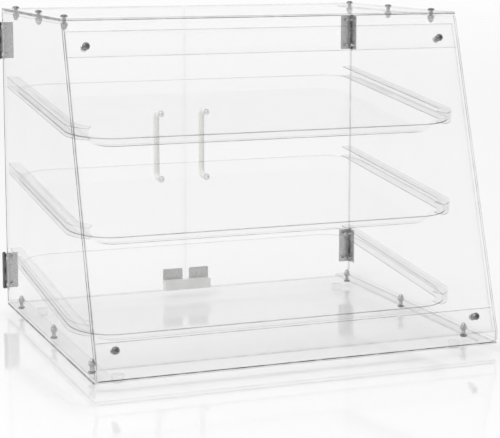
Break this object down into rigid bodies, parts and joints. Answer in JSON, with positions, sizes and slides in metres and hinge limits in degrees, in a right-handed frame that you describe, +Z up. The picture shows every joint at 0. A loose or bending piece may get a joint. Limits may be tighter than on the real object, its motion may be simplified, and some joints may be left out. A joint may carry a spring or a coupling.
{
  "type": "pastry display case",
  "caption": "Clear countertop pastry display case with a sloped front, tilted slide-out trays in side guides, hinged rear doors with bow handles and a magnetic catch.",
  "frame": {"origin": "centre of the case's overall box, on the plane that the bumper feet stand on", "axes": "+X across the case to the customer's right, +Y from the sloped front to the rear doors, +Z up"},
  "size_m": [0.544, 0.4786, 0.4325],
  "materials": {
    "acrylic_sheet": "clear polished acrylic",
    "tray_plastic": "clear moulded plastic",
    "foot_rubber": "clear soft bumper",
    "screw_steel": "dark plated steel",
    "hinge_steel": "satin plated steel",
    "strike_steel": "satin zinc",
    "catch_magnet": "matt sintered",
    "catch_plastic": "light grey moulded",
    "handle_plastic": "off-white satin"
  },
  "bodies": {
    "case": {"base_left_front_screw": "screw_steel", "base_left_middle_screw": "screw_steel", "base_left_rear_screw": "screw_steel", "base_panel": "acrylic_sheet", "base_right_front_screw": "screw_steel", "base_right_middle_screw": "screw_steel", "base_right_rear_screw": "screw_steel", "bottom_left_tray_guide": "acrylic_sheet", "bottom_right_tray_guide": "acrylic_sheet", "catch_body": "catch_plastic", "front_left_foot": "foot_rubber", "front_left_lower_screw": "screw_steel", "front_left_upper_screw": "screw_steel", "front_panel": "acrylic_sheet", "front_right_foot": "foot_rubber", "front_right_lower_screw": "screw_steel", "front_right_upper_screw": "screw_steel", "left_catch_magnet": "catch_magnet", "left_lower_hinge_case_leaf": "hinge_steel", "left_lower_hinge_pin": "hinge_steel", "left_side_panel": "acrylic_sheet", "left_upper_hinge_case_leaf": "hinge_steel", "left_upper_hinge_pin": "hinge_steel", "middle_left_tray_guide": "acrylic_sheet", "middle_right_tray_guide": "acrylic_sheet", "rear_left_foot": "foot_rubber", "rear_right_foot": "foot_rubber", "right_catch_magnet": "catch_magnet", "right_lower_hinge_case_leaf": "hinge_steel", "right_lower_hinge_pin": "hinge_steel", "right_side_panel": "acrylic_sheet", "right_upper_hinge_case_leaf": "hinge_steel", "right_upper_hinge_pin": "hinge_steel", "top_left_front_screw": "screw_steel", "top_left_middle_screw": "screw_steel", "top_left_rear_screw": "screw_steel", "top_left_tray_guide": "acrylic_sheet", "top_panel": "acrylic_sheet", "top_right_front_screw": "screw_steel", "top_right_middle_screw": "screw_steel", "top_right_rear_screw": "screw_steel", "top_right_tray_guide": "acrylic_sheet"},
    "left_door": {"left_door_handle": "handle_plastic", "left_door_panel": "acrylic_sheet", "left_handle_lower_screw": "screw_steel", "left_handle_upper_screw": "screw_steel", "left_lower_hinge_door_leaf": "hinge_steel", "left_strike_plate": "strike_steel", "left_upper_hinge_door_leaf": "hinge_steel"},
    "right_door": {"right_door_handle": "handle_plastic", "right_door_panel": "acrylic_sheet", "right_handle_lower_screw": "screw_steel", "right_handle_upper_screw": "screw_steel", "right_lower_hinge_door_leaf": "hinge_steel", "right_strike_plate": "strike_steel", "right_upper_hinge_door_leaf": "hinge_steel"},
    "bottom_tray_body": {"bottom_tray": "tray_plastic"},
    "middle_tray_body": {"middle_tray": "tray_plastic"},
    "top_tray_body": {"top_tray": "tray_plastic"}
  },
  "joints": [
    {"name": "left_door_hinge", "type": "hinge", "parent": "case", "child": "left_door", "pos_m": [-0.2694, 0.2149, 0.22], "axis": [0, 0, 1], "range_deg": [0, 255]},
    {"name": "right_door_hinge", "type": "hinge", "parent": "case", "child": "right_door", "pos_m": [0.2694, 0.2149, 0.22], "axis": [0, 0, -1], "range_deg": [0, 255]},
    {"name": "bottom_tray_slide", "type": "slide", "parent": "case", "child": "bottom_tray_body", "axis": [0, 0.9943, 0.1063], "range_m": [0, 0.01]},
    {"name": "middle_tray_slide", "type": "slide", "parent": "case", "child": "middle_tray_body", "axis": [0, 0.9943, 0.1063], "range_m": [0, 0.01]},
    {"name": "top_tray_slide", "type": "slide", "parent": "case", "child": "top_tray_body", "axis": [0, 0.9943, 0.1063], "range_m": [0, 0.01]}
  ]
}
